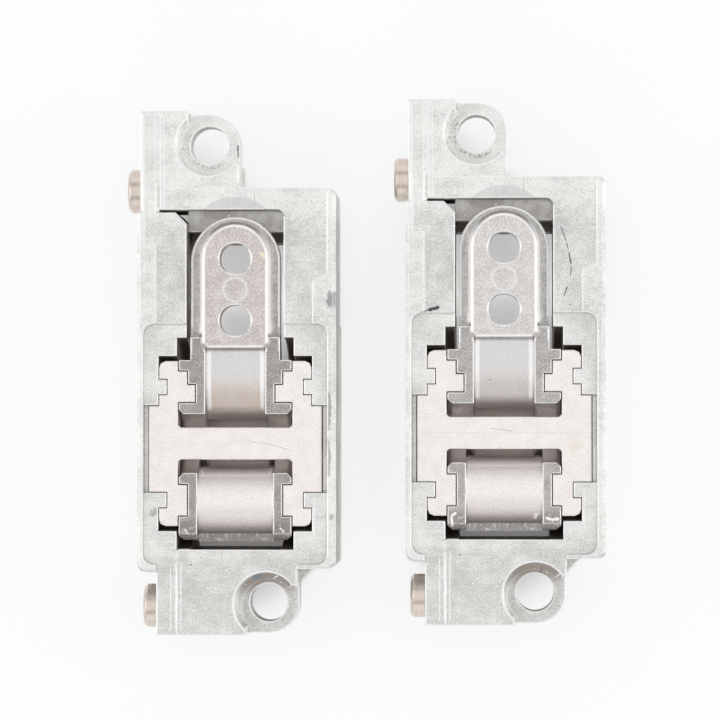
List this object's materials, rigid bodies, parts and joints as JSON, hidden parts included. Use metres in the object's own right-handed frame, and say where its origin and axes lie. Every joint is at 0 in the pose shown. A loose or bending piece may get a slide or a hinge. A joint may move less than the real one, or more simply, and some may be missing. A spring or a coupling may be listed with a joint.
{
  "type": "laptop hinge pair",
  "caption": "Small metal hinges with a pinless two-stage turn: a pad-ended arm turns in an H-shaped interlink, which turns in a cast bracket with screw lugs.",
  "frame": {"origin": "middle of the pair's footprint, on the plane that the backs of the brackets rest on", "axes": "+X along the turning lines, towards the right hinge; +Y along the closed arms towards their tips; +Z out of the flush faces"},
  "size_m": [0.0306, 0.0342, 0.0067],
  "materials": {
    "cast_zinc": "as-cast zinc, lightly tumbled",
    "sintered_pale": "sintered steel, fine grain",
    "sintered_grey": "sintered steel, coarse grain with bright edges",
    "screw_steel": "plain turned steel"
  },
  "bodies": {
    "brackets": {"left_main_bracket": "cast_zinc", "left_side_bracket": "cast_zinc", "left_upper_clamp_screw": "screw_steel", "left_lower_clamp_screw": "screw_steel", "right_main_bracket": "cast_zinc", "right_side_bracket": "cast_zinc", "right_upper_clamp_screw": "screw_steel", "right_lower_clamp_screw": "screw_steel"},
    "left_interlink": {"left_interlink": "sintered_pale"},
    "left_arm": {"left_arm": "sintered_grey"},
    "right_interlink": {"right_interlink": "sintered_pale"},
    "right_arm": {"right_arm": "sintered_grey"}
  },
  "joints": [
    {"name": "left_interlink_turn", "type": "hinge", "parent": "brackets", "child": "left_interlink", "pos_m": [-0.00828, -0.00487, 0.0064], "axis": [1, 0, 0], "range_deg": [0, 80]},
    {"name": "left_arm_turn", "type": "hinge", "parent": "left_interlink", "child": "left_arm", "pos_m": [-0.00828, -0.00487, 0.0064], "axis": [1, 0, 0], "range_deg": [0, 85]},
    {"name": "right_interlink_turn", "type": "hinge", "parent": "brackets", "child": "right_interlink", "pos_m": [0.00887, -0.00419, 0.0064], "axis": [1, 0, 0], "range_deg": [0, 80]},
    {"name": "right_arm_turn", "type": "hinge", "parent": "right_interlink", "child": "right_arm", "pos_m": [0.00887, -0.00419, 0.0064], "axis": [1, 0, 0], "range_deg": [0, 85]}
  ]
}
